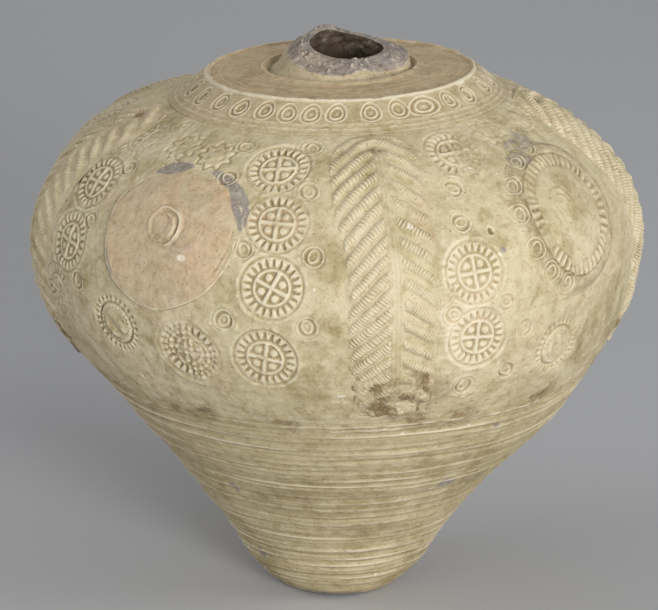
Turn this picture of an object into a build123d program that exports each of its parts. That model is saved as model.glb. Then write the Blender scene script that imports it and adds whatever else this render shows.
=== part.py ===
from build123d import *
import math
import os

# A sphero-conical vessel of unglazed stoneware. It is luted together with slip from a thrown cone,
# a domed upper body, a stepped shoulder collar and a neck that has broken off short. Four leaf
# panels and four roundels are laid on the dome between them.
# Millimetres, +Z up along the throwing axis, origin at the centre of the foot.
# Azimuth 0 faces -Y, and grows towards +X.

# Cone, outside
foot_radius = 11.0
foot_height = 7.0
foot_top_radius = 18.4
foot_bulge = 0.7
seam_height = 51.0
seam_radius = 51.8
ridge_count = 18
ridge_depth = 0.22

# Dome, outside
belly_height = 74.5
belly_radius = 59.8
shoulder_rise = 34.6
ledge_radius = 33.8

# Walls and hollow
dome_wall = 7.5
hollow_depth = 11.0
hollow_tip_radius = 10.0
hollow_tip_height = 15.0

# Luted joints: the slip in them, the lap at the seam and the way through the ledge
slip_gap = 0.1
lap_height = 4.0
lap_share = 0.5
opening_radius = 20.0

# Shoulder collar
collar_radius = 32.6
collar_edge = 0.9
collar_band_rise = 4.2
collar_top_radius = 26.8
collar_lip = 0.35
collar_lip_width = 0.9
collar_crown = 0.8
collar_spigot = 3.4
crest_radius = 16.4
crest_width = 1.4
crest_height = 0.4

# Neck stump
neck_seat_radius = 14.2
neck_seat_depth = 1.0
neck_roll_height = 1.9
neck_roll_bulge = 0.6
neck_radius = 12.8
neck_spigot_radius = 11.4
bore_radius = 5.5
stump_height = 6.0
stump_radius = 9.2
mouth_radius = 6.8
mouth_depth = 2.4
mouth_rise = 4.3
# Facets of the break: azimuth that it falls towards, rise above the seat on the axis, and slope
break_facets = ((0.0, mouth_rise, 11.0), (80.0, 4.6, 14.0), (-100.0, 5.9, 10.0))

# Leaf panels
panel_azimuths = {"front": 10.6, "right": 87.0, "back": 184.0, "left": -79.0}
panel_above_seam = 3.5
panel_below_ledge = 1.0
panel_half_width = 9.6
panel_foot_half_width = 7.2
panel_tip_half_width = 6.6
panel_thickness = 2.4
panel_end_thickness = 1.1
panel_sections = 7
barb_count = 16
barb_width = 1.5
barb_height = 0.7
barb_slope = 38.0
midrib_width = 2.4

# Roundels
# Where each lies, its radius, and whether its ring of beads is still on it
roundels = {
    "front_left": (-36.0, 14.9, False),
    "front_right": (53.0, 16.5, True),
    "rear_right": (136.5, 14.9, True),
    "rear_left": (225.5, 16.5, True),
}
roundel_above_belly = 11.5
roundel_thickness = 1.1
bead_ring_radius = 12.8
bead_ring_width = 2.9
bead_ring_thickness = 2.1
bead_count = 40
bead_gap = 0.8
boss_radius = 3.4
boss_wall = 0.8
boss_rise = 0.6

ledge_height = belly_height + shoulder_rise * math.sqrt(1 - (ledge_radius / belly_radius) ** 2)
underside_drop = (belly_height - seam_height) / math.sqrt(1 - (seam_radius / belly_radius) ** 2)
lap_top = seam_height + lap_height
panel_bottom = seam_height + panel_above_seam
panel_top = ledge_height - panel_below_ledge
roundel_height = belly_height + roundel_above_belly
spigot_foot = ledge_height - collar_spigot
collar_edge_top = ledge_height + collar_edge
collar_top = collar_edge_top + collar_band_rise
neck_seat = collar_top + collar_crown - neck_seat_depth
stump_top = neck_seat + stump_height


def half_height(height):
    """Vertical half axis of the ellipse that the dome follows at this height."""
    return shoulder_rise if height >= belly_height else underside_drop


def dome_radius(height, proud=0.0):
    """Radius of the dome at a height. A proud dome is that much larger each way."""
    share = (height - belly_height) / (half_height(height) + proud)
    return (belly_radius + proud) * math.sqrt(1 - share**2)


def dome_normal(height):
    """Outward direction of the dome's surface at a height, in the XZ plane."""
    across = dome_radius(height) / belly_radius**2
    along = (height - belly_height) / half_height(height) ** 2
    return Vector(across, 0, along).normalized()


def dome_arcs(bottom, top, proud=0.0):
    """Dome outline from a lower to a higher height: two elliptical arcs that meet at the belly."""
    arcs = []
    belly = Plane(origin=(0, 0, belly_height), x_dir=(1, 0, 0), z_dir=(0, -1, 0))
    lower = (underside_drop + proud, bottom, min(top, belly_height))
    upper = (shoulder_rise + proud, belly_height, top)
    for rise, *ends in (lower, upper):
        start, end = (math.degrees(math.asin((height - belly_height) / rise)) for height in ends)
        if end > start:
            arcs.append(Edge.make_ellipse(belly_radius + proud, rise, belly, start, end))
    return arcs


def run(*points):
    """Straight edges through points given as radius and height."""
    corners = [Vector(radius, 0, height) for radius, height in points]
    return [Edge.make_line(a, b) for a, b in zip(corners, corners[1:])]


def bow(start, end, bulge):
    """Arc between two points that stands out from their chord, to the right of its direction."""
    a, b = (Vector(radius, 0, height) for radius, height in (start, end))
    along = b - a
    outward = Vector(along.Z, 0, -along.X).normalized()
    return Edge.make_three_point_arc(a, (a + b) / 2 + outward * bulge, b)


def turned(*edges):
    """Solid of revolution inside a closed outline in the XZ plane."""
    return Solid.revolve(Face(Wire(edges)), 360, Axis.Z)


def facing(solid, azimuth):
    """Turn a solid from +X to an azimuth."""
    return solid.rotate(Axis.Z, azimuth - 90)


def dome_core(proud):
    """Everything inside the proud dome, from the seam to just above the ledge."""
    low, high = seam_height, ledge_height + panel_thickness
    bottom = run((0, high), (0, low), (dome_radius(low, proud), low))
    return turned(*bottom, *dome_arcs(low, high, proud), *run((dome_radius(high, proud), high), (0, high)))


def lap_radius():
    """Radius of the lap between tongue and skirt, inside the wall at the seam."""
    inner = dome_radius(lap_top, -dome_wall)
    return inner + (seam_radius - inner) * lap_share


def lower_cone():
    """Thrown cone with a rounded foot, shallow throwing ridges and a tongue round its rim."""
    ridges = []
    for i in range(ridge_count):
        ends = [
            (
                foot_top_radius + (seam_radius - foot_top_radius) * share,
                foot_height + (seam_height - foot_height) * share,
            )
            for share in (i / ridge_count, (i + 1) / ridge_count)
        ]
        ridges.append(bow(*ends, ridge_depth))
    inner_seam = dome_radius(seam_height, -dome_wall)
    tongue = run(
        (seam_radius, seam_height),
        (lap_radius(), seam_height),
        (lap_radius(), lap_top - slip_gap),
        (dome_radius(lap_top - slip_gap, -dome_wall), lap_top - slip_gap),
    )
    hollow = dome_arcs(seam_height, lap_top - slip_gap, -dome_wall)
    hollow += run((inner_seam, seam_height), (hollow_tip_radius, hollow_tip_height))
    tip = Edge.make_three_point_arc(
        (hollow_tip_radius, 0, hollow_tip_height),
        (0, 0, hollow_depth),
        (-hollow_tip_radius, 0, hollow_tip_height),
    ).trim(0, 0.5)
    foot = bow((foot_radius, 0), (foot_top_radius, foot_height), foot_bulge)
    return turned(foot, *ridges, *tongue, *hollow, tip, *run((0, hollow_depth), (0, 0), (foot_radius, 0)))


def upper_body():
    """Domed upper body with a skirt over the cone's tongue and a flat ledge round its opening."""
    inner_top = belly_height + (shoulder_rise - dome_wall) * math.sqrt(
        1 - (opening_radius / (belly_radius - dome_wall)) ** 2
    )
    ledge = run((ledge_radius, ledge_height), (opening_radius, ledge_height), (opening_radius, inner_top))
    skirt = run(
        (dome_radius(lap_top, -dome_wall), lap_top),
        (lap_radius() + slip_gap, lap_top),
        (lap_radius() + slip_gap, seam_height),
        (seam_radius, seam_height),
    )
    outside = dome_arcs(seam_height, ledge_height)
    return turned(*outside, *ledge, *dome_arcs(lap_top, inner_top, -dome_wall), *skirt)


def shoulder_collar():
    """Stepped collar: upright edge, sloping band, small lip, nearly flat top and a crest round the neck."""
    lip_inner = collar_top_radius - collar_lip_width
    crest_outer = crest_radius + crest_width / 2
    crest_inner = crest_radius - crest_width / 2
    crown = collar_top + collar_crown
    top = [
        bow((collar_top_radius, collar_top), (lip_inner, collar_top), collar_lip),
        *run((lip_inner, collar_top), (crest_outer, crown)),
        bow((crest_outer, crown), (crest_inner, crown), crest_height),
    ]
    socket = run(
        (crest_inner, crown),
        (neck_seat_radius + slip_gap, crown),
        (neck_seat_radius + slip_gap, neck_seat),
        (neck_spigot_radius + slip_gap, neck_seat),
        (neck_spigot_radius + slip_gap, spigot_foot),
        (opening_radius - slip_gap, spigot_foot),
        (opening_radius - slip_gap, ledge_height),
        (collar_radius, ledge_height),
        (collar_radius, collar_edge_top),
        (collar_top_radius, collar_top),
    )
    return turned(*top, *socket)


def neck_stump():
    """Foot of the neck with its bore and outer roll, left standing by a slanting, faceted break."""
    roll_top = neck_seat + neck_roll_height
    roll = bow((neck_seat_radius, neck_seat), (neck_radius, roll_top), neck_roll_bulge)
    body = turned(
        roll,
        *run(
            (neck_radius, roll_top),
            (stump_radius, stump_top),
            (bore_radius, stump_top),
            (bore_radius, spigot_foot),
            (neck_spigot_radius, spigot_foot),
            (neck_spigot_radius, neck_seat),
            (neck_seat_radius, neck_seat),
        ),
    )
    standing = (Align.CENTER, Align.CENTER, Align.MIN)
    for azimuth, rise, slope in break_facets:
        lost = Box(4 * neck_radius, 4 * neck_radius, stump_height, align=standing)
        body -= facing(lost.rotate(Axis.Y, slope).translate((0, 0, neck_seat + rise)), azimuth)
    funnel = Cone(bore_radius, mouth_radius, mouth_depth, align=standing)
    return body - funnel.translate((0, 0, neck_seat + mouth_rise - mouth_depth))


def panel_section(share):
    """D-shaped section of a leaf panel, square to the dome, from foot (0) to tip (1)."""
    fullness = 1 - abs(2 * share - 1) ** 4
    end_width = panel_foot_half_width if share < 0.5 else panel_tip_half_width
    width = end_width + (panel_half_width - end_width) * fullness
    crown = panel_end_thickness + (panel_thickness - panel_end_thickness) * fullness
    height = panel_bottom + (panel_top - panel_bottom) * share
    radius = dome_radius(height)
    normal = dome_normal(height)
    fall = radius - math.sqrt(radius**2 - width**2)
    section = Plane(origin=(radius, 0, height), x_dir=(0, -1, 0), z_dir=(-normal.Z, 0, normal.X))
    outline = ((-width, -fall / 2), (0, crown), (width, -fall / 2))
    left, top, right = (section.from_local_coords(point) for point in outline)
    base = ((width, -fall - crown), (-width, -fall - crown))
    low_right, low_left = (section.from_local_coords(point) for point in base)
    sides = ((right, low_right), (low_right, low_left), (low_left, left))
    return Wire([Edge.make_three_point_arc(left, top, right)] + [Edge.make_line(*side) for side in sides])


def barb_curve():
    """Radius of the panel's crown along a barb, from its bends across and along the panel."""
    radius = dome_radius(belly_height)
    rise = panel_thickness + (radius - math.sqrt(radius**2 - panel_half_width**2)) / 2
    across = (panel_half_width**2 + rise**2) / (2 * rise)
    along = (shoulder_rise**2 + underside_drop**2) / (2 * belly_radius)
    slope = math.radians(barb_slope)
    return 1 / (math.cos(slope) ** 2 / across + math.sin(slope) ** 2 / along)


def barb_slots():
    """Slots between the barbs, of even depth, running down and out from the midrib on both sides."""
    spacing = (panel_top - panel_bottom) / barb_count
    length = 2 * panel_half_width
    curve = barb_curve()
    bed = Cylinder(curve, length).translate((panel_thickness - barb_height - curve, 0, 0))
    slot = Box(length, length, spacing - barb_width, align=(Align.CENTER, Align.MIN, Align.CENTER))
    slot = slot.translate((0, midrib_width / 2, 0)) - bed
    right_slot = slot.rotate(Axis.X, -barb_slope)
    slots = []
    for i in range(barb_count + 1):
        height = panel_bottom + (i + 0.5) * spacing
        normal = dome_normal(height)
        lean = -math.degrees(math.atan2(normal.Z, normal.X))
        for side_slot in (right_slot, right_slot.mirror(Plane.XZ)):
            slots.append(side_slot.rotate(Axis.Y, lean).translate((dome_radius(height), 0, height)))
    return slots


def leaf_panel():
    """Leaf laid on the dome at +X: a smooth midrib with a row of slanting barbs on each side."""
    sections = [panel_section(i / (panel_sections - 1)) for i in range(panel_sections)]
    return Solid.make_loft(sections) - barb_slots() - dome_core(slip_gap)


def on_roundel(shape):
    """Move a shape made about +Z to the middle of a roundel at +X, square to the dome."""
    middle = (dome_radius(roundel_height), 0, roundel_height)
    return Plane(origin=middle, x_dir=(0, 1, 0), z_dir=dome_normal(roundel_height)) * shape


def roundel_disc(radius, thickness, width=None):
    """Disc, or ring of a width, of even thickness that follows the dome."""
    drill = Cylinder(radius, belly_radius)
    if width:
        drill -= Cylinder(radius - width, belly_radius)
    return on_roundel(drill) & dome_core(thickness)


def bead_notches():
    """Radial slots that part the beads of a roundel's ring, cut right across it."""
    middle = bead_ring_radius - bead_ring_width / 2
    notch = Box(2 * bead_ring_width, bead_gap, belly_radius).translate((middle, 0, 0))
    return [on_roundel(notch.rotate(Axis.Z, 360 * i / bead_count)) for i in range(bead_count)]


def roundel(radius, beaded):
    """Round pad with a small ringed boss, and a ring of beads round it where it is beaded."""
    pad = roundel_disc(radius, roundel_thickness)
    pad += roundel_disc(boss_radius, roundel_thickness + boss_rise, boss_wall)
    if beaded:
        pad += roundel_disc(bead_ring_radius, bead_ring_thickness, bead_ring_width) - bead_notches()
    return pad - dome_core(slip_gap)


pieces = {
    "lower_cone": lower_cone(),
    "upper_body": upper_body(),
    "shoulder_collar": shoulder_collar(),
    "neck_stump": neck_stump(),
}

panel = leaf_panel()
for place, azimuth in panel_azimuths.items():
    pieces[f"leaf_panel_{place}"] = facing(panel, azimuth)

for place, (azimuth, radius, beaded) in roundels.items():
    pieces[f"roundel_{place}"] = facing(roundel(radius, beaded), azimuth)

os.makedirs("parts", exist_ok=True)
for name, piece in pieces.items():
    export_step(piece, f"parts/{name}.step")
    box = piece.bounding_box()
    print(f"{name}: {len(piece.solids())} solid, {box.min.Z:.1f} to {box.max.Z:.1f} mm high")
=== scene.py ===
import math
import bpy
import numpy as np
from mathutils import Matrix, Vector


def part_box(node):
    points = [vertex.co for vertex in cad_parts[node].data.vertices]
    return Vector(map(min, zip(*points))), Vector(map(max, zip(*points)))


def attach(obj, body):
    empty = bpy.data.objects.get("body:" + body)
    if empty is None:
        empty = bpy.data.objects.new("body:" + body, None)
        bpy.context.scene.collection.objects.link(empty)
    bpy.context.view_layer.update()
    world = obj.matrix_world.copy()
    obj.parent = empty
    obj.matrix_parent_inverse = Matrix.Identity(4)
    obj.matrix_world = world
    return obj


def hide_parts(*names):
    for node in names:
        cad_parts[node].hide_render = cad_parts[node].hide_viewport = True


# A sphero-conical vessel of unglazed stoneware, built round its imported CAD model.
# Lengths are in millimetres and angles in degrees. Azimuth 0 faces -Y and grows towards +X.
# A noise takes points, a size and a seed: the seed only picks another pattern of the same kind.
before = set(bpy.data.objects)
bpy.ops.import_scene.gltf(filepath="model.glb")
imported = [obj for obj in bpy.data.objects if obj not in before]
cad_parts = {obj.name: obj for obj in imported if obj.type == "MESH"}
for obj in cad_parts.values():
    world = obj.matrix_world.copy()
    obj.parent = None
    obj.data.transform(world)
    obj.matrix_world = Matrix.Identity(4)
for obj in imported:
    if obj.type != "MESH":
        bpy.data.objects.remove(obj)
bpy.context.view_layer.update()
toMetres = 0.001
print("frame loaded with nodes", sorted(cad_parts))


def smoothStep(low, high, x):
    # 0 before low and 1 after high, with 3t^2 - 2t^3 between them
    t = np.clip((x - low) / (high - low), 0, 1)
    return t * t * (3 - 2 * t)


def bell(x, middle, width):
    # Bell curve exp(-((x - middle) / width)^2)
    return np.exp(-(((x - middle) / width) ** 2))


def wave(x):
    # Cosine wave that runs from 0 to 1
    return 0.5 + 0.5 * np.cos(x)


def turnFrom(middle, azimuth):
    # Signed angle from a middle azimuth, between -180 and 180
    return (azimuth - middle + 180) % 360 - 180


def allRound(count):
    return np.arange(count) * 360 / count


def throughPoints(x, knots):
    # Smooth curve through (x, y) pairs: cubic between two of them, with the neighbours' chord as slope
    px, py = (np.array(values, float) for values in zip(*knots))
    slope = np.gradient(py, px)
    i = np.clip(np.searchsorted(px, x) - 1, 0, len(px) - 2)
    gap = px[i + 1] - px[i]
    t = np.clip((x - px[i]) / gap, 0, 1)
    start = (1 + 2 * t) * (1 - t) ** 2 * py[i] + t * (1 - t) ** 2 * gap * slope[i]
    return start + t * t * (3 - 2 * t) * py[i + 1] + t * t * (t - 1) * gap * slope[i + 1]


def roundAxis(azimuth, knots):
    # The same curve through (azimuth, value) pairs that close on themselves after a full turn
    turns = sorted((a + shift, value) for a, value in knots for shift in (-360, 0, 360))
    return throughPoints(turnFrom(0, azimuth), turns)


shuffled = np.random.default_rng(11).permutation(256)
cornerValues = np.random.default_rng(12).uniform(-1, 1, 256)


def valueNoise(points, size, seed=0):
    # A random number at each corner of a lattice of this size, mixed by smoothed weights between them
    scaled = points / size + 37.7 * seed
    cell = np.floor(scaled).astype(np.int64)
    part = scaled - cell
    part = part * part * (3 - 2 * part)
    total = np.zeros(points.shape[:-1])
    for corner in range(8):
        step = [(corner >> k) & 1 for k in range(3)]
        hashed = 0
        weight = 1.0
        for k in range(3):
            hashed = shuffled[(cell[..., k] + step[k] + hashed) & 255]
            weight = weight * (part[..., k] if step[k] else 1 - part[..., k])
        total += weight * cornerValues[hashed]
    return total


def layeredNoise(points, size, layers, seed=0):
    # Value noise added up, each layer half as large and half as strong as the one before
    return sum(valueNoise(points, size / 2**k, seed + k) / 2**k for k in range(layers))


def patches(low, high, points, size, layers, seed):
    # Cloudy patches: layered noise, 0 where it is below low and 1 where it is above high
    return smoothStep(low, high, layeredNoise(points, size, layers, seed))


def alongOnly(lengths):
    # Points for a noise that changes along one way only
    return np.stack([lengths, 0 * lengths, 0 * lengths], -1)


def softened(field, passes):
    # Each value becomes a quarter of its two neighbours and half of itself, along both ways of the grid
    for _ in range(passes):
        for axis in (0, 1):
            padded = np.pad(field, [(1, 1) if axis == k else (0, 0) for k in (0, 1)], mode="edge")
            n = padded.shape[axis]
            before, after = (padded.take(range(k, n - 2 + k), axis) for k in (0, 2))
            field = field / 2 + (before + after) / 4
    return field


def hollows(relief, passes=8, depth=0.25):
    # How far a point lies below its softened surroundings: 1 in a groove, -1 on a crest
    return np.clip((softened(relief, passes) - relief) / depth, -1, 1)


# The dome, which everything else is laid on or set in
dome = {
    "bellyHeight": 74.5,
    "bellyRadius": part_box("upper_body")[1].x / toMetres,
    "seamHeight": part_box("upper_body")[0].z / toMetres,
    "seamRadius": 51.8,
    "ledgeHeight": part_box("upper_body")[1].z / toMetres,
    "ledgeRadius": 33.8,
    "wall": 7.5,
    "openingRadius": 20.0,
    "lapHeight": 4.0,
    "slip": 0.1,  # gap of a luted joint
}


def halfAxis(height, radius):
    # Vertical half axis of the ellipse that goes from the belly through a point: dz / sqrt(1 - (r / R)^2)
    return abs(height - dome["bellyHeight"]) / math.sqrt(1 - (radius / dome["bellyRadius"]) ** 2)


underDrop = halfAxis(dome["seamHeight"], dome["seamRadius"])
overRise = halfAxis(dome["ledgeHeight"], dome["ledgeRadius"])


def domeRadius(height, inset=0.0):
    # Two half ellipses that meet at the belly: r = R * sqrt(1 - (dz / rise)^2)
    rise = np.where(height < dome["bellyHeight"], underDrop, overRise) - inset
    share = np.clip((height - dome["bellyHeight"]) / rise, -1, 1)
    return (dome["bellyRadius"] - inset) * np.sqrt(1 - share**2)


# The lap at the seam, where the dome's skirt goes over the cone's tongue
lapTop = dome["seamHeight"] + dome["lapHeight"]
lapRadius = (domeRadius(lapTop, dome["wall"]) + dome["seamRadius"]) / 2

domeHeights = np.linspace(dome["seamHeight"] - 2, dome["ledgeHeight"] + 1, 4000)
domeRadii = domeRadius(domeHeights)
domeArcs = np.concatenate([[0], np.cumsum(np.hypot(np.diff(domeHeights), np.diff(domeRadii)))])
domeArcs -= np.interp(dome["seamHeight"], domeHeights, domeArcs)
domeSlopeR, domeSlopeZ = (np.gradient(values, domeArcs) for values in (domeRadii, domeHeights))


def arcAt(height):
    # Length along the dome's outline from the seam up to a height
    return np.interp(height, domeHeights, domeArcs)


def radiusAt(arc):
    # The dome's radius at that length
    return np.interp(arc, domeArcs, domeRadii)


def aroundAxis(azimuth, radius, height):
    # Cylinder coordinates to x, y, z: (r sin a, -r cos a, z)
    turn = np.radians(azimuth)
    x, y, z = np.broadcast_arrays(radius * np.sin(turn), -radius * np.cos(turn), height)
    return np.stack([x, y, z], axis=-1)


def turnedRings(azimuths, radii, heights):
    # A ring of points for each radius and height
    return aroundAxis(azimuths[None], radii[:, None], heights[:, None])


def onDome(azimuth, arc, lift):
    # Point on the dome, moved outwards along its normal (dz, -dr) by lift
    radius, height = radiusAt(arc), np.interp(arc, domeArcs, domeHeights)
    slopeR, slopeZ = (np.interp(arc, domeArcs, values) for values in (domeSlopeR, domeSlopeZ))
    return aroundAxis(azimuth, radius + slopeZ * lift, height - slopeR * lift)


# The pot was luted by hand: its levels are a little off the axis, and its collar sits askew
handMade = {
    "sideways": ((-3, 0), (15, 0.1), (21, 0.3), (27, 0.7), (33, 1.5), (39, 1.9), (45, 1.7), (51, 0.8),
                 (57, 0.2), (63, -0.1), (69, -0.4), (87, -0.5), (93, -0.7), (100, -0.3), (105, 0.3),
                 (117, 0.4)),  # height, slide to the right
    "tiltBand": (92.0, 104.0),
    "collarSink": 1.2,
    "collarBack": 0.040,
    "collarSide": 0.0227,
}


def collarSink(x, y):
    # A tilted plane: how far the collar sinks at each place
    return handMade["collarSink"] + handMade["collarBack"] * y - handMade["collarSide"] * x


def asThrown(points):
    # Slides each level sideways, then lets the collar sink and tip where the dome gives way to it
    x, y, z = np.moveaxis(points, -1, 0)
    share = smoothStep(*handMade["tiltBand"], z)
    return np.stack([x + throughPoints(z, handMade["sideways"]), y, z - share * collarSink(x, y)], axis=-1)


def unevenness(points):
    # Slow swells of the wall from hand building, then the drag of wet fingers and slip
    slow = 0.30 * valueNoise(points, 24, 3) + 0.10 * valueNoise(points, 8, 5)
    return slow + 0.05 * valueNoise(points, 3.2, 7) + 0.025 * layeredNoise(points, 1.2, 2, 9)


def gridPiece(name, seen, after, marks, material, node, before=None, loopRows=False, loopColumns=False):
    # Rows of points become a closed skin: the seen ones, which carry the marks, and hidden ones before and
    # after them. Rows or columns that don't loop are shut by one flat face at each end of the columns, or
    # by a fan of triangles to a middle point at each end of the rows.
    points = np.concatenate([seen, after] if before is None else [before, seen, after])
    rows, columns = points.shape[:2]
    spots = (asThrown(points) * toMetres).reshape(-1, 3)
    index = np.arange(rows * columns).reshape(rows, columns)
    low = index if loopRows else index[:-1]
    high = np.roll(index, -1, 0) if loopRows else index[1:]
    sides = [np.roll(level, -1, 1) if loopColumns else level[:, 1:] for level in (low, high)]
    low, high = (level if loopColumns else level[:, :-1] for level in (low, high))
    quads = np.stack([low, sides[0], sides[1], high], -1).reshape(-1, 4)
    loops, sizes, flat = [quads.ravel()], [np.full(len(quads), 4)], [np.zeros(len(quads), bool)]
    if not loopColumns:
        for end in (index[::-1, 0], index[:, -1]):
            loops.append(end[::-1])
            sizes.append(np.array([rows]))
            flat.append(np.array([True]))
    if not loopRows:
        middles = [spots[row].mean(0) for row in (index[0], index[-1])]
        for row, middle, step in ((index[0], len(spots), -1), (index[-1], len(spots) + 1, 1)):
            fan = np.stack([row, np.roll(row, -1), np.full(columns, middle)], -1)
            loops.append(fan[:, ::step].ravel())
            sizes.append(np.full(columns, 3))
            flat.append(np.zeros(columns, bool))
        spots = np.concatenate([spots, middles])
    loops, sizes, flat = (np.concatenate(part) for part in (loops, sizes, flat))
    starts = np.cumsum(sizes) - sizes
    # Where the grid runs the other way its volume is below zero, and every face is turned over
    corners = [spots[quads[:, k]] - spots.mean(0) for k in range(4)]
    volume = sum(np.einsum("ij,ij->", corners[0], np.cross(corners[k], corners[k + 1])) for k in (1, 2))
    if volume < 0:
        last, first = (np.repeat(values, sizes) for values in (starts + sizes - 1, starts))
        loops = loops[last - (np.arange(len(loops)) - first)]
    mesh = bpy.data.meshes.new(name)
    mesh.vertices.add(len(spots))
    mesh.vertices.foreach_set("co", spots.astype(np.float32).ravel())
    mesh.loops.add(len(loops))
    mesh.loops.foreach_set("vertex_index", loops.astype(np.int32))
    mesh.polygons.add(len(sizes))
    mesh.polygons.foreach_set("loop_start", starts.astype(np.int32))
    mesh.polygons.foreach_set("use_smooth", ~flat)
    mesh.update(calc_edges=True)
    mesh.validate()
    hiddenBefore = 0 if before is None else before[..., 0].size
    for mark, values in marks.items():
        field = np.zeros(len(spots), np.float32)
        field[hiddenBefore:hiddenBefore + seen[..., 0].size] = np.broadcast_to(values, seen.shape[:2]).ravel()
        mesh.attributes.new(mark, "FLOAT", "POINT").data.foreach_set("value", field)
    mesh.materials.append(material)
    piece = bpy.data.objects.new(name, mesh)
    bpy.context.scene.collection.objects.link(piece)
    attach(piece, "root")
    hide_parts(node)
    mesh.calc_loop_triangles()
    print(name, "has", len(mesh.loop_triangles), "triangles")


def socket(node, key):
    return node.inputs[int(key) if key.isdigit() else key]


def addNode(tree, kind, settings=None, links=None):
    # Adds one node, sets its values and input sockets, and joins inputs to other nodes' outputs
    node = tree.nodes.new(kind)
    for key, value in (settings or {}).items():
        if hasattr(node, key):
            setattr(node, key, value)
        else:
            socket(node, key).default_value = value
    for key, source in (links or {}).items():
        tree.links.new(source, socket(node, key))
    return node


def linear(hexColour):
    # sRGB hex to linear: c / 12.92 below 0.04045, else ((c + 0.055) / 1.055) ^ 2.4
    parts = [int(hexColour[k:k + 2], 16) / 255 for k in (1, 3, 5)]
    return [c / 12.92 if c <= 0.04045 else ((c + 0.055) / 1.055) ** 2.4 for c in parts] + [1.0]


def bakedClay(name, finish):
    # Base colour, drifting cloudily to its second tone and to patches. Then come stains, where a mark of the
    # mesh plus ragged noise passes a limit, mottling and grit, and last a painted highlight on the mesh's crests and
    # painted shade in its hollows. The dirt stain also carries painted shade in some grooves and down the bore, and
    # the chip stain a painted highlight along one proud edge.
    # Height for the bump is fine grain plus mottling less open pores.
    material = bpy.data.materials.new(name)
    material.use_nodes = True
    tree = material.node_tree
    tree.nodes.clear()
    place = addNode(tree, "ShaderNodeTexCoord").outputs["Object"]

    def noise(sizeMm, detail, roughness=0.55, distortion=0.0):
        return addNode(tree, "ShaderNodeTexNoise", {
            "Scale": 1 / (sizeMm * toMetres), "Detail": detail, "Roughness": roughness, "Distortion": distortion,
        }, {"Vector": place}).outputs["Fac"]

    def between(low, high, value, reach=1.0):
        return addNode(tree, "ShaderNodeMapRange", {
            "interpolation_type": "SMOOTHSTEP", "From Min": low, "From Max": high, "To Max": reach,
        }, {"Value": value}).outputs["Result"]

    def combined(operation, first, second):
        # The second value is another node's output or a fixed number
        fixed = isinstance(second, float)
        settings, links = {"operation": operation}, {"0": first}
        (settings if fixed else links)["1"] = second
        return addNode(tree, "ShaderNodeMath", settings, links).outputs[0]

    def tinted(colour, share, hexColour, blend="MIX"):
        return addNode(tree, "ShaderNodeMix", {
            "data_type": "RGBA", "blend_type": blend, "7": linear(hexColour),
        }, {"0": share, "6": colour}).outputs[2]

    def mark(key):
        return addNode(tree, "ShaderNodeAttribute", {"attribute_name": key}).outputs["Fac"]

    patch = noise(finish["patchSize"], 5, 0.62, 0.6)
    mottle = noise(finish["mottleSize"], 5, 0.65, 0.5)
    grit = noise(finish["gritSize"], 2, 0.6)
    colour = addNode(tree, "ShaderNodeMix", {
        "data_type": "RGBA", "6": linear(finish["base"]), "7": linear(finish["second"]),
    }, {"0": between(0.38, 0.66, noise(finish["cloudSize"], 3))}).outputs[2]
    colour = tinted(colour, between(0.44, 0.70, patch, finish["patchShare"]), finish["patch"])
    ragged = combined("SUBTRACT", noise(finish["raggedSize"], 6, 0.75, 0.3), 0.5)
    for key, low, high, share in finish["stains"]:
        here = mark(key)
        edge = combined("MULTIPLY", ragged, combined("MULTIPLY", here, finish["raggedReach"]))
        edge = combined("ADD", here, edge)
        colour = tinted(colour, between(low, high, edge, share), finish[key])
    colour = tinted(colour, between(0.46, 0.78, mottle, 0.75), finish["mottle"], "MULTIPLY")
    colour = tinted(colour, between(0.50, 0.26, mottle, finish["speckle"]), finish["crest"])
    colour = tinted(colour, between(0.60, 0.72, grit, 0.80), finish["grit"], "MULTIPLY")
    colour = tinted(colour, between(0.40, 0.28, grit, finish["speckle"]), finish["crest"])
    # Painted highlight on the mesh's crests and painted shade in its hollows, both from the signed mark of how far a
    # point lies below its surroundings
    sunk = mark("hollow")
    colour = tinted(colour, between(-0.10, -0.65, sunk, finish["crestShare"]), finish["crest"])
    colour = tinted(colour, between(0.10, 0.95, sunk, finish["hollowShare"]), finish["hollow"])
    grain = combined("ADD", noise(finish["grainSize"], 3, 0.6), mottle)
    pores = between(0.38, 0.28, noise(finish["poreSize"], 2), 1.2)
    bump = addNode(tree, "ShaderNodeBump", {
        "Strength": finish["bump"], "Distance": finish["bumpHeight"] * toMetres,
    }, {"Height": combined("SUBTRACT", grain, pores)}).outputs["Normal"]
    rough = addNode(tree, "ShaderNodeMapRange", {
        "To Min": finish["roughness"] - 0.08, "To Max": finish["roughness"] + 0.1,
    }, {"Value": patch}).outputs["Result"]
    shader = addNode(tree, "ShaderNodeBsdfPrincipled", {"IOR": finish["ior"]}, {
        "Base Color": colour, "Roughness": rough, "Normal": bump,
    }).outputs["BSDF"]
    addNode(tree, "ShaderNodeOutputMaterial", {}, {"Surface": shader})
    return material
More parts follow.
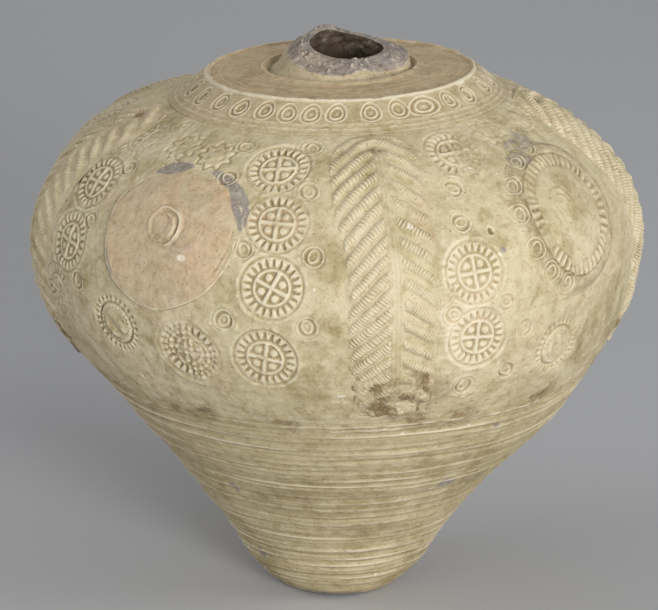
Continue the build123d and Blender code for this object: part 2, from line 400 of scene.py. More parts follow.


# Reduction-fired stoneware, thrown or pressed, never glazed: matt, and pale buff with a greenish cast where
# thin slip lies on it. Crests get a pale painted highlight and hollows a brown painted shade, to deepen the
# relief. The clay's real grit is about 0.2 mm, finer than the render shows, so grit, grain and pores are drawn
# as coarse as they need to show.
bodyFinish = {
    "base": "#C9BC97", "second": "#D3C4A3", "cloudSize": 26.0,
    "patch": "#A49469", "patchShare": 0.80, "patchSize": 9.0,
    "mottle": "#CFC3A6", "mottleSize": 2.4, "grit": "#C4B694", "gritSize": 0.5, "speckle": 0.33,
    # Pale colour of the painted highlight on crests, also used for pale specks, and brown colour of the painted shade
    # in hollows, with their strengths
    "crest": "#E2D6BA", "crestShare": 0.85, "hollow": "#8E7B54", "hollowShare": 0.68,
    "pink": "#C9AE8F", "dirt": "#7C6440", "soot": "#8B8481", "chip": "#EFE6D4",
    "stains": (("pink", 0.0, 1.0, 0.9), ("dirt", 0.0, 1.0, 0.95), ("soot", 0.25, 0.85, 0.85),
               ("chip", 0.2, 0.8, 0.85)),  # mark, limits, strength
    "raggedSize": 1.6, "raggedReach": 3.0,
    "grainSize": 0.55, "poreSize": 0.9, "bump": 0.45, "bumpHeight": 0.16, "roughness": 0.74, "ior": 1.5,
}
# Soft, chalky and slightly green
bodyClay = bakedClay("slipped buff stoneware, stamped", bodyFinish)
# Barer and darker, with drag lines from the wheel
coneClay = bakedClay("thrown buff stoneware", {
    # Weaker painted shade in its hollows, in a darker brown
    **bodyFinish, "base": "#BEAF88", "second": "#C6B690", "hollowShare": 0.6, "hollow": "#85734D", "bump": 0.6})
# Pale sharp teeth over dark gaps: painted highlight on the teeth and stronger, darker painted shade in the gaps
panelClay = bakedClay("pressed buff stoneware", {
    **bodyFinish, "crest": "#E2D6BB", "hollow": "#86724A", "hollowShare": 0.74})
# Smooth, warm and bare of slip
scarClay = bakedClay("rubbed pinkish stoneware", {
    **bodyFinish, "base": "#CCB190", "second": "#C3B08F", "patch": "#B7AC8A", "bump": 0.35})
# Browner, most of all on its top disc
collarClay = bakedClay("turned buff stoneware", {
    **bodyFinish, "base": "#BFB08A", "second": "#C2AE8C", "pink": "#C2A983", "patchShare": 0.6})
# Rough, open and mauve-grey, as the fire left the middle of the wall
coreClay = bakedClay("broken grey stoneware core", {
    **bodyFinish, "base": "#A3968A", "second": "#AE9F8B", "patch": "#857B74", "patchShare": 0.7,
    # Its near-black dirt colour paints the shade down the bore, and is dirt on the break
    "dirt": "#33230B", "pink": "#C4B593", "speckle": 0.08, "bump": 1.0, "grainSize": 0.8, "roughness": 0.84})
print("materials ready")


def ringStamp(u, v):
    # A pressed disc with two raised rings in it, the inner one egg-shaped and open on one side
    rho = np.hypot(u, v * (1 + 0.05 * u))
    egg = np.hypot(1.12 * (u - 0.14 * v), 0.82 * (v + 0.1))
    disc = 0.36 * smoothStep(2.50, 2.15, rho)
    inner = 0.44 * bell(egg, 1.02, 0.23) * (0.78 + 0.22 * np.cos(np.arctan2(v, u) - 0.6))
    return 0.46 * bell(rho, 2.0, 0.25) + inner - disc + 0.14 * bell(egg, 0.15, 0.35) + 0.06 * bell(rho, 2.8, 0.3)


def rosette(u, v, teeth=22):
    # Wheel stamp: wedge notches round a rim, a groove, then a sunk field with a cross and four pellets
    rho = np.hypot(u, v)
    turn = np.degrees(np.arctan2(v, u))
    nearNotch = np.abs((turn * teeth / 360) % 1 - 0.5) * 2
    notch = smoothStep(-0.14, 0.14, nearNotch - 0.40 - 0.30 * (rho - 4.2))
    notch = notch * smoothStep(3.9, 4.2, rho) * smoothStep(5.75, 5.45, rho)
    cross = np.maximum(*(smoothStep(0.52, 0.28, np.abs(way)) for way in (u, v)))
    pellets = 0.85 * smoothStep(0.95, 0.55, np.hypot(np.abs(u) - 1.5, np.abs(v) - 1.5))
    field = smoothStep(3.35, 3.05, rho) * (1 - np.maximum(cross, pellets))
    grooves = np.maximum(bell(rho, 3.92, 0.27), 0.5 * bell(rho, 6.15, 0.22))
    sunk = np.maximum(np.maximum(notch, field), grooves)
    return 0.06 * bell(rho, 6.7, 0.5) - 0.44 * sunk - 0.06 * smoothStep(6.3, 6.0, rho)


def doubleStruck(u, v):
    # The wheel stamp struck twice, a little apart, so that its middle runs together
    return 0.55 * rosette(u + 0.5, v - 0.4) + 0.55 * rosette(u - 0.7, v + 0.5)


def worn(u, v):
    # The wheel stamp with one side rubbed away
    return rosette(u, v) * (0.35 + 0.65 * smoothStep(2.5, -1.5, u - 0.4 * v))


def blurred(u, v):
    # A beaded rim, a groove and a few rays, all that is left of a stamp struck at a slant
    rho = np.hypot(u, v)
    turn = np.arctan2(v, u)
    rim = bell(rho, 5.3, 0.5) * wave(26 * turn) + bell(rho, 4.3, 0.3)
    rim = rim + 0.5 * bell(rho, 3.3, 0.45) * wave(26 * turn + 1.5)
    return -0.36 * rim + 0.12 * np.sin(1.9 * u + 1.2 * v) * smoothStep(3, 2.4, rho)


def smallFlower(u, v):
    # A small stamp, badly struck: a groove of nine lobes round a smaller, broken one
    rho = np.hypot(u, v)
    turn = np.arctan2(v, u)
    lobes = 3.4 + 0.5 * np.cos(9 * turn)
    return -0.30 * bell(rho, lobes, 0.35) - 0.22 * bell(rho, 1.8, 0.4) * (0.6 + 0.4 * np.cos(5 * turn))


def eggStamp(u, v):
    # Two egg-shaped rings in a pressed hollow, pointed upwards, with a beaded kernel
    rho = np.hypot(u * (1 + 0.10 * v), 0.84 * v) / 1.18
    kernel = bell(rho, 0.0, 0.45) * (0.7 + 0.3 * np.cos(5 * u) * np.cos(5 * v))
    rings = 0.44 * bell(rho, 1.68, 0.25) + 0.40 * bell(rho, 1.0, 0.20)
    return rings + 0.15 * kernel - 0.32 * smoothStep(2.15, 1.80, rho)


def crescentStamp(u, v):
    # A ring between two grooves, 7 mm across, with a crescent in it
    rho = np.hypot(u, v)
    ring = bell(rho, 3.0, 0.33) - 0.9 * bell(rho, 2.45, 0.28) - 0.5 * bell(rho, 3.55, 0.3)
    moon = smoothStep(2.2, 1.9, rho) * smoothStep(1.5, 1.9, np.hypot(u + 0.9, v - 0.3))
    return 0.42 * ring + 0.30 * moon


# Azimuth, height and strength of each stamp on the front. The back repeats them, as it does the panels.
stamping = {
    "rings": (
        (-27.4, 101.3, 0.9), (-7.3, 101.6, 0.9), (-26.6, 96.9, 1.0), (-6.1, 95.8, 1.0), (-18.1, 86.7, 1.0),
        (-4.3, 86, 1.1), (-20.7, 73.4, 1.1), (-5.2, 73, 1.2), (-55.4, 102.2, 0.6), (-44.2, 97.3, 0.7),
        (-55.8, 95, 0.9), (-56.8, 85.5, 0.9), (-56.4, 73.9, 0.9), (28.0, 95.1, 0.9), (26.6, 90.2, 1.0),
        (22.2, 74.2, 1.0), (33.2, 75, 0.9), (34.4, 60.3, 1.0), (25.1, 58.3, 1.1), (50.1, 97.4, 0.5),
        (37.7, 68.8, 0.8),
    ),
    "wheels": (
        (rosette, -14.9, 98.7, 1.0), (rosette, -12.0, 91.1, 1.0), (rosette, -11.9, 80.3, 1.1),
        (rosette, -13.4, 66.1, 1.15), (doubleStruck, -28.8, 65.8, 1.0), (blurred, -45.7, 67.9, 1.4),
        (rosette, -62.3, 91.5, 0.9), (rosette, -61.6, 80.4, 0.9), (worn, -65.4, 68.7, 0.8),
        (worn, -63.0, 99.3, 0.6), (smallFlower, -33.8, 99.5, 1.0), (smallFlower, -45.9, 99.9, 0.8),
        (worn, 33.6, 99.7, 0.7), (rosette, 26.9, 81.7, 0.9), (rosette, 27.2, 68.7, 1.1),
        (blurred, 47.3, 62.6, 1.0), (blurred, 66.9, 101.7, 0.5), (smallFlower, 49.9, 101.1, 0.8),
    ),
    "ringReach": 3.4, "wheelReach": 7.6,
    "backTurn": 172.5, "backStrength": 0.92, "backLowRows": (69, 1.5),  # those below this height sink by this
    # A column between the rear roundel and the left panel: its azimuth, those of its rings, and its heights
    "column": 256.0, "columnRings": ((248.5, 5.0), (264.0, 4.0)), "columnHeights": (96.5, 88.0, 79.0, 69.0),
    "depth": 1.35,
}
dice = np.random.default_rng(21)


def stampList():
    # Every stamp as (shape, azimuth, height, strength, turn, reach), front and back
    struck = []

    def strike(shape, azimuth, height, strength):
        isRing = shape is ringStamp
        turn = dice.uniform(-180, 180) if isRing else dice.uniform(-25, 25)
        reach = stamping["ringReach" if isRing else "wheelReach"]
        struck.append((shape, azimuth, height, strength, turn, reach))

    for shift, hand in ((0.0, 1.0), (stamping["backTurn"], stamping["backStrength"])):
        for azimuth, height, strength in stamping["rings"]:
            strike(ringStamp, azimuth + shift, height, strength * hand)
        for shape, azimuth, height, strength in stamping["wheels"]:
            limit, drop = stamping["backLowRows"]
            lowered = drop if shift and height < limit else 0.0
            strike(shape, azimuth + shift, height - lowered, strength * hand)
    for height in stamping["columnHeights"]:
        strike(rosette, stamping["column"] + dice.uniform(-1.5, 1.5), height, 0.9)
        for azimuth, drop in stamping["columnRings"]:
            strike(ringStamp, azimuth, height - drop, 0.9)
    return struck


stamps = stampList()


def pressStamps(azimuths, arcs, middleAzimuth):
    # Adds each stamp's relief, turned, in the window of the grid that it reaches
    relief = np.zeros((len(arcs), len(azimuths)))
    for shape, azimuth, height, strength, turn, reach in stamps:
        azimuth = turnFrom(middleAzimuth, azimuth) + middleAzimuth
        up = arcs - arcAt(height)
        rows = np.nonzero(np.abs(up) < reach)[0]
        across = np.radians(azimuths - azimuth) * radiusAt(arcAt(height))
        columns = np.nonzero(np.abs(across) < reach * 1.3)[0]
        if not len(rows) or not len(columns):
            continue
        v = np.broadcast_to(up[rows][:, None], (len(rows), len(columns)))
        u = np.radians(azimuths[columns] - azimuth)[None] * radiusAt(arcs[rows])[:, None]
        c, s = math.cos(math.radians(turn)), math.sin(math.radians(turn))
        relief[np.ix_(rows, columns)] += strength * shape(c * u + s * v, c * v - s * u)
    return relief


def spotField(points, spots):
    # Soft ovals at (azimuth, height, half width, half height) in millimetres, with ragged edges
    radius = np.hypot(points[..., 0], points[..., 1]) + 1e-6
    azimuth = np.degrees(np.arctan2(points[..., 0], -points[..., 1]))
    field = np.zeros(points.shape[:-1])
    ragged = 0.35 * layeredNoise(points, 2.5, 3, 71)
    for spotAzimuth, height, halfWidth, halfHeight in spots:
        across = np.radians(turnFrom(spotAzimuth, azimuth)) * radius / halfWidth
        far = np.hypot(across, (points[..., 2] - height) / halfHeight) + ragged
        field = np.maximum(field, smoothStep(1.15, 0.75, far))
    return field


cone = {
    "outline": ((0, 10.9), (0.3, 11.8), (1, 12.9), (2.2, 14.4), (4, 16.2), (7, 18.5), (11, 20.7), (15, 23.4),
                (21, 28.0), (27, 32.7), (33, 37.8), (39, 43.0), (45, 47.4),
                (dome["seamHeight"], dome["seamRadius"])),  # height, radius
    "rowStep": 0.28,
    "columns": 360,
    "lineSpacing": 0.62, "lineDepth": 0.20,
    "grooves": (50.7, 49.1, 46.5, 42.9, 40.4, 37.4, 34.9, 32.4, 28.7, 25.0, 22.6, 20.2, 17.7, 16.2, 14.0,
                12.2, 9.9, 6.3),
    "grooveDepth": 0.20,
    "footGrooves": (11, 1.3),  # those below this height are this much stronger
    "hollowTip": ((10.0, 15.0), (8.2, 13.2), (5.8, 11.9), (3.0, 11.2), (0.5, 11.0)),  # radius, height
    "roughBand": (45.0, 53.0),
    # Dark grey spots and scorches, two of them behind
    "soot": ((34.0, 31, 2.2, 1.1), (-49.4, 10.2, 1.2, 1.5), (-3.0, 0.6, 7.0, 0.7), (-38.0, 29.0, 0.8, 1.4),
             (49.8, 43.1, 0.7, 0.7), (37.8, 46, 0.7, 0.7), (150.0, 27, 2.4, 1.5), (-140.0, 39, 1.5, 1.0)),
}


def arcRows(knots, step):
    # Heights and radii of an outline at even steps along it
    fine = np.linspace(knots[0][0], knots[-1][0], 3000)
    radii = throughPoints(fine, knots)
    arcs = np.concatenate([[0], np.cumsum(np.hypot(np.diff(fine), np.diff(radii)))])
    even = np.linspace(0, arcs[-1], int(arcs[-1] / step))
    return np.interp(even, arcs, fine), np.interp(even, arcs, radii)


def turnedPoints(azimuths, radii, heights, relief):
    # Outline carried round the axis, with relief along its normals (dz, -dr) / length
    dr, dz = np.gradient(radii), np.gradient(heights)
    size = np.hypot(dr, dz) + 1e-9
    across = radii[:, None] + (dz / size)[:, None] * relief
    return aroundAxis(azimuths[None], across, heights[:, None] - (dr / size)[:, None] * relief)


def throwingLines(azimuths, heights, pitch, depth):
    # Ridges left by fingertips: noise drawn out round the pot, and so thin across it
    turn = np.radians(azimuths)[None]
    around = 30  # the noise's size along a ridge
    points = np.stack(np.broadcast_arrays(
        np.sin(turn) * around, np.cos(turn) * around, heights[:, None] / pitch * around), -1)
    return depth * valueNoise(points, around, 31) + 0.5 * depth * valueNoise(points * [1.6, 1.6, 2.2], around, 32)


def lowerCone():
    # The turned outline, out by swells, finger lines and roughness and in by grooves. A groove's section is
    # a bell, with a softer one raised on each side of it, and it wanders up and down as it goes round.
    heights, radii = arcRows(cone["outline"], cone["rowStep"])
    azimuths = allRound(cone["columns"])
    bare = turnedPoints(azimuths, radii, heights, 0.0)
    level = heights[:, None]
    aboveFoot = smoothStep(0, 3, level)
    relief = unevenness(bare) * smoothStep(-0.5, 4, level)
    relief += throwingLines(azimuths, heights, cone["lineSpacing"], cone["lineDepth"]) * aboveFoot
    wander = 0.55 * valueNoise(bare * [1, 1, 0.6], 26, 41)
    grooves = np.zeros_like(relief)
    limit, stronger = cone["footGrooves"]
    for k, height in enumerate(cone["grooves"]):
        off = level - height - wander
        strength = 0.60 + 0.65 * valueNoise(bare * [1, 1, 0.2], 22, 50 + k)
        strength *= stronger if height < limit else 1.0
        grooves += strength * (bell(off, 0, 0.28) - 0.55 * bell(off, 0.75, 0.4) - 0.3 * bell(off, -0.7, 0.35))
    relief -= cone["grooveDepth"] * grooves * aboveFoot
    rough = smoothStep(*cone["roughBand"], level)
    relief += rough * 0.16 * layeredNoise(bare, 2.2, 3, 61)
    relief *= 1 - 0.7 * smoothStep(dome["seamHeight"] - 0.8, dome["seamHeight"], level)
    dirt = 0.75 * rough * patches(-0.15, 0.7, bare, 5, 4, 63)
    marks = {
        # Painted shade in the grooves and painted highlight on the ridges
        "hollow": hollows(relief, 10, 0.22),
        "dirt": np.maximum(dirt, 0.40 * patches(0.1, 0.9, bare * [1, 1, 2], 13, 4, 67)),
        "soot": spotField(bare, cone["soot"]),
        "chip": 0.8 * patches(0.84, 0.92, bare, 1.6, 1, 66),
    }
    # Under the foot, up the tongue and down the hollow, where nothing is seen
    footRadii = np.linspace(0.4, 0.94 * radii[0], 6)
    seam, tongueTop = dome["seamHeight"], lapTop - dome["slip"]
    innerTop, innerSeam = (domeRadius(height, dome["wall"]) for height in (tongueTop, seam))
    tipRadii, tipHeights = zip(*cone["hollowTip"])
    backRadii = np.concatenate([
        [lapRadius + 0.6, lapRadius, lapRadius, innerTop], np.linspace(innerSeam, tipRadii[0], 12), tipRadii[1:]])
    backHeights = np.concatenate([
        [seam, seam, tongueTop, tongueTop], np.linspace(seam, tipHeights[0], 12), tipHeights[1:]])
    gridPiece("lower_cone_thrown", turnedPoints(azimuths, radii, heights, relief),
              turnedRings(azimuths, backRadii, backHeights), marks, coneClay, "lower_cone",
              before=turnedRings(azimuths, footRadii, 0 * footRadii), loopColumns=True)


lowerCone()

panelAzimuths = {"front": 10.6, "right": 87.0, "back": 184.0, "left": -79.0}
scar = {"azimuth": -35.0, "height": 87.3, "radius": 15.0}  # where the front left medallion came away
skin = {
    "rowStep": 0.25,
    "columnStep": {"front_left": 0.25, "front_right": 0.23, "rear_right": 0.30, "rear_left": 0.30},
    "underPanel": 7.5, "coarseStep": 1.2,  # coarser below the panels, where nothing is seen
    "lineSpacing": 1.1, "lineDepth": 0.06,
    "roughBand": (7.0, -2.0),
    # A streak of painted highlight right of the front panel, where the surface faces the key light
    "highlightStreak": (23.0, 4.0, 76.0, 16.0),  # azimuth, half width, height, half height
    "soot": ((57.0, 98.5, 5.5, 1.4), (50.0, 96.8, 3.0, 1.2), (-84.3, 95.7, 1.2, 1.2), (33.7, 84.7, 0.8, 0.6),
             (120.0, 92, 2.5, 1.6), (205.0, 75, 3.0, 1.2)),
    "pits": ((32.4, 88.1, 0.6, 0.6), (-84.3, 95.7, 0.7, 0.7), (76.5, 77.7, 0.25, 1.8)),
    "pitDepth": 0.7,
}


def scarSoot(azimuth, arc):
    # Grey film left round the lost medallion, as wide as a sum of bells of the angle from its middle:
    # broad patches at the upper right and the top, thin ones elsewhere
    u = np.radians(turnFrom(scar["azimuth"], azimuth)) * radiusAt(arc)
    v = arc - arcAt(scar["height"])
    turn = (np.degrees(np.arctan2(v, u)) + 360) % 360
    reach = 1.7 * bell(turn, 34, 22) + 0.8 * bell(turn, 68, 14) + 1.9 * bell(turn, 112, 13) + 0.8 * bell(turn, 212, 20)
    past = np.hypot(u, v) - scar["radius"]
    film = smoothStep(reach + 0.4, 0.5 * reach, past) * smoothStep(-1.3 * reach, -0.7 * reach, past)
    return film * smoothStep(0.2, 0.7, reach)


def domeQuadrant(name, startAzimuth, endAzimuth):
    # The dome between the middles of two panels: its arc carried round, out by swells, finger lines and
    # roughness, and in or out by the stamps, less where they are rubbed
    arcTop = arcAt(dome["ledgeHeight"])
    arcs = np.linspace(0, arcTop, int(arcTop / skin["rowStep"]))
    hidden = math.degrees(skin["underPanel"] / dome["bellyRadius"])
    step = math.degrees(skin["columnStep"][name] / dome["bellyRadius"])
    coarse = int(skin["underPanel"] / skin["coarseStep"])
    firstSeen, lastSeen = startAzimuth + hidden, endAzimuth - hidden
    azimuths = np.concatenate([
        np.linspace(startAzimuth, firstSeen, coarse, endpoint=False),
        np.linspace(firstSeen, lastSeen, int((endAzimuth - startAzimuth - 2 * hidden) / step)),
        np.linspace(lastSeen, endAzimuth, coarse + 1)[1:],
    ])
    bare = onDome(azimuths[None], arcs[:, None], 0.0)
    height = bare[..., 2]
    stamped = pressStamps(azimuths, arcs, (startAzimuth + endAzimuth) / 2)
    rubbed = patches(-0.3, 0.8, bare, 9, 3, 81)
    relief = unevenness(bare) + stamping["depth"] * stamped * (1 - 0.40 * rubbed)
    relief += throwingLines(azimuths, height[:, 0], skin["lineSpacing"], skin["lineDepth"])
    relief += 0.10 * layeredNoise(bare, 2.2, 5, 84)
    rough = smoothStep(*skin["roughBand"], arcs)[:, None]
    relief += rough * 0.16 * layeredNoise(bare, 2.2, 3, 61) * smoothStep(0, 2.5, arcs)[:, None]
    relief += 0.22 * np.minimum(0, layeredNoise(bare, 1.5, 3, 83) + 0.50)  # open pores
    pits = spotField(bare, skin["pits"])
    relief -= skin["pitDepth"] * pits
    relief *= 1 - 0.5 * smoothStep(1.0, 0.0, arcs)[:, None]
    # The painted highlight streak: less painted shade and more of the pale highlight colour there
    streakAzimuth, streakWidth, streakHeight, streakRise = skin["highlightStreak"]
    pale = bell(azimuths, streakAzimuth, streakWidth)[None] * bell(height, streakHeight, streakRise)
    pale = pale * patches(-0.6, 0.5, bare, 7, 3, 87)
    # Darker patches, fading out above a height of 84 mm, and over the rough band at the seam
    lowDarkPatches = 0.42 * patches(0.15, 0.9, bare, 11, 4, 88) * smoothStep(84, 66, height)
    lowDarkPatches = np.maximum(0.85 * rough * patches(-0.15, 0.7, bare, 5, 4, 63), lowDarkPatches)
    pinkish = 0.35 * patches(0.25, 0.8, bare, 14, 3, 85)
    marks = {
        # Painted shade in hollows and painted highlight on crests, more highlight in the streak
        "hollow": np.clip(hollows(relief) - 0.5 * pale, -1, 1),
        "dirt": np.maximum(lowDarkPatches, 0.8 * pits),
        "soot": 0.6 * spotField(bare, skin["soot"]) + scarSoot(azimuths[None], arcs[:, None]),
        "pink": 0.55 * smoothStep(0.10, 0.38, -stamped) * rubbed + pinkish,
        "chip": 0.8 * patches(0.86, 0.94, bare, 1.3, 1, 86),
    }
    # Ledge, inner wall and skirt, coarse because the collar and the wall hide them
    innerShare = dome["openingRadius"] / (dome["bellyRadius"] - dome["wall"])
    innerTop = dome["bellyHeight"] + (overRise - dome["wall"]) * math.sqrt(1 - innerShare**2)
    innerHeights = np.linspace(innerTop, lapTop, 18)
    skirtRadius = lapRadius + dome["slip"]
    backHeights = np.concatenate([np.full(5, dome["ledgeHeight"]), innerHeights, [lapTop, dome["seamHeight"]]])
    backRadii = np.concatenate([
        np.linspace(dome["ledgeRadius"] - 0.5, dome["openingRadius"], 5), domeRadius(innerHeights, dome["wall"]),
        [skirtRadius, skirtRadius]])
    gridPiece("upper_body_" + name, onDome(azimuths[None], arcs[:, None], relief),
              turnedRings(azimuths, backRadii, backHeights), marks, bodyClay, "upper_body",
              loopRows=True)


domeQuadrant("front_left", panelAzimuths["left"], panelAzimuths["front"])
domeQuadrant("front_right", panelAzimuths["front"], panelAzimuths["right"])
domeQuadrant("rear_right", panelAzimuths["right"], panelAzimuths["back"])
domeQuadrant("rear_left", panelAzimuths["back"], panelAzimuths["left"] + 360)

collar = {
    "radius": 32.6, "edge": 0.9, "bandRise": 4.2, "topRadius": 26.8, "crown": 0.8,
    "lip": 0.46, "lipWidth": 0.9,
    "crestRadius": 15.4, "crestWidth": 1.1, "crestHeight": 0.40, "crestBell": 0.75,
    "spigot": 3.4, "spigotRadius": 11.5, "plugRadius": 19.9, "socketRadius": 14.3, "socketDepth": 1.0,
    "columns": 700, "rowStep": 0.25, "hiddenStep": 2.0,
    "lineSpacing": 0.55, "lineDepth": 0.09,
    "stampAzimuths": (-65.8, -52.6, -41.1, -29.8, -20.1, -11.0, -1.4, 11.8, 22.8, 34.0, 46.8, 58.3, 73.7, 84.5,
                      95.0, 106.5, 117.0, 127.5, 139.0, 150.0, 160.5, 171.0, 182.5, 193.0, 204.0, 214.5, 225.0,
                      236.5, 247.0, 258.0, 269.0, 281.0),
    "doubleAt": 34.0, "doubleWidth": 1.75,  # one stamp was struck twice, side by side
    "bandMiddle": 0.56,
    "chipAzimuth": 60.5,
}


def runThrough(corners, step):
    # Points at even steps along straight runs between (radius, height) corners
    radii, heights = [], []
    for (r0, z0), (r1, z1) in zip(corners, corners[1:]):
        n = max(int(math.hypot(r1 - r0, z1 - z0) / step), 1)
        radii.append(np.linspace(r0, r1, n, endpoint=False))
        heights.append(np.linspace(z0, z1, n, endpoint=False))
    return np.concatenate(radii), np.concatenate(heights)


def shoulderCollar():
    # Straight runs turned round the axis: edge, sloping band, lip, disc and crest. The lip's section is half
    # an ellipse and the crest's a bell. Relief adds the band's egg stamps and the disc's turning lines.
    radius, topRadius = collar["radius"], collar["topRadius"]
    base = dome["ledgeHeight"]
    edgeTop = base + collar["edge"]
    top = edgeTop + collar["bandRise"]
    crown = top + collar["crown"]
    lipInner = topRadius - collar["lipWidth"]
    crestOuter, crestInner = (collar["crestRadius"] + side * collar["crestWidth"] / 2 for side in (1, -1))
    seen = [(radius + 1.0, base), (radius + 0.2, base + 0.5), (radius - 0.5, edgeTop), (topRadius, top),
            (lipInner, top), (crestOuter, crown), (crestInner, crown), (collar["socketRadius"] + 0.5, crown - 0.25)]
    radii, heights = runThrough(seen, collar["rowStep"])
    lipShare = (radii - (lipInner + topRadius) / 2) / (collar["lipWidth"] / 2 + 0.05)
    heights += collar["lip"] * np.sqrt(np.clip(1 - lipShare**2, 0, 1)) * (heights > top - 0.1)
    heights += collar["crestHeight"] * bell(radii, collar["crestRadius"], collar["crestBell"]) * (heights > top)
    seat, foot = crown - collar["socketDepth"], base - collar["spigot"]
    hiddenR, hiddenZ = runThrough([
        (collar["socketRadius"], seat), (collar["spigotRadius"], seat), (collar["spigotRadius"], foot),
        (collar["plugRadius"], foot), (collar["plugRadius"], base), (radius - 0.5, base)], collar["hiddenStep"])
    azimuths = allRound(collar["columns"])
    bare = turnedPoints(azimuths, radii, heights, 0.0)
    onBand = smoothStep(edgeTop - 0.1, edgeTop + 0.3, heights) * smoothStep(topRadius - 0.1, topRadius + 0.3, radii)
    along = np.hypot(radius - 0.3 - radii, heights - edgeTop)
    length = math.hypot(radius - topRadius, collar["bandRise"])
    stamped = np.zeros((len(radii), len(azimuths)))
    handStrike = np.random.default_rng(31)
    for azimuth in collar["stampAzimuths"]:
        u = np.radians(turnFrom(azimuth, azimuths))[None] * radii[:, None]
        v = (along - collar["bandMiddle"] * length)[:, None] + 0 * u
        lean = handStrike.uniform(-0.12, 0.12)
        wide = collar["doubleWidth"] if azimuth == collar["doubleAt"] else 1.0
        struck = eggStamp((u + lean * v) / wide, v - handStrike.uniform(-0.25, 0.25))
        stamped += handStrike.uniform(1.0, 1.4) * struck * (np.abs(u) < 4)
    onTop = smoothStep(topRadius, lipInner, radii)[:, None]
    relief = 0.12 * valueNoise(bare, 14, 91) + 0.05 * valueNoise(bare, 4, 92) + stamped * onBand[:, None]
    relief += onTop * throwingLines(azimuths, radii, collar["lineSpacing"], collar["lineDepth"])
    relief += 0.08 * layeredNoise(bare, 1.8, 4, 93)
    # Two soft lines run round the foot of the band
    relief += ((0.16 * bell(along, 0.0, 0.35) + 0.13 * bell(along, 1.25, 0.32)) * (radii > topRadius + 1.2))[:, None]
    relief *= smoothStep(base - 0.05, base + 0.3, heights)[:, None]
    lipCrest = bell(radii, topRadius - 0.2, 0.65)[:, None]
    relief -= 0.2 * lipCrest * patches(0.35, 0.6, bare, 3.0, 1, 94)
    # The lip and the raised crest are painted pale in full, a painted highlight
    rubbed = 1.8 * lipCrest + 1.5 * bell(radii, collar["crestRadius"], 0.5)[:, None]
    chipped = 0.9 * smoothStep(5, 3, np.abs(azimuths - collar["chipAzimuth"]))[None]
    marks = {
        "hollow": np.minimum(hollows(relief, 6, 0.16), 1 - rubbed),
        "chip": lipCrest * (0.30 * patches(-0.2, 0.6, bare, 5, 1, 96) + chipped),
        "pink": onTop * (0.62 + 0.38 * patches(-0.1, 0.6, bare, 12, 3, 95)),
        "dirt": onTop * 0.34 * patches(-0.1, 0.7, bare * [1, 1, 3], 6, 4, 97),
    }
    gridPiece("shoulder_collar_turned", turnedPoints(azimuths, radii, heights, relief),
              turnedRings(azimuths, hiddenR, hiddenZ), marks, collarClay, "shoulder_collar",
              loopRows=True, loopColumns=True)


shoulderCollar()

neck = {
    "seatRadius": 14.2, "spigotRadius": 11.4, "boreRadius": 5.5,
    # Where the break meets the outside: azimuth with height, and with radius
    "outerHeight": ((0, 109.3), (20, 109.7), (45, 109.0), (90, 110), (135, 110.8), (180, 111.6), (-160, 112.2),
                    (-120, 111.3), (-90, 110.6), (-45, 109.9)),
    "outerRadius": ((0, 12.2), (25, 11.4), (45, 11.2), (65, 13.4), (90, 13.6), (110, 13.2), (135, 12.0),
                    (180, 11.4), (-160, 11.0), (-120, 10.6), (-90, 10.4), (-45, 11.6), (-20, 12.4)),
    # Where it meets the hole
    "rimHeight": ((0, 110.9), (45, 110.8), (90, 111.3), (135, 111.9), (180, 112.9), (-160, 113.5),
                  (-120, 112.9), (-90, 112.4), (-45, 111.6)),
    "rimRadius": ((0, 6.2), (45, 7.2), (90, 8.6), (135, 7.6), (180, 6.6), (-135, 6.2), (-90, 6.0), (-45, 6.0)),
    "columns": 300, "sideRows": 14, "breakRows": 56, "boreRows": 44, "hiddenStep": 1.5,
    "rollBulge": 0.55, "stepHeight": 0.35, "layerDepth": 0.55,
}


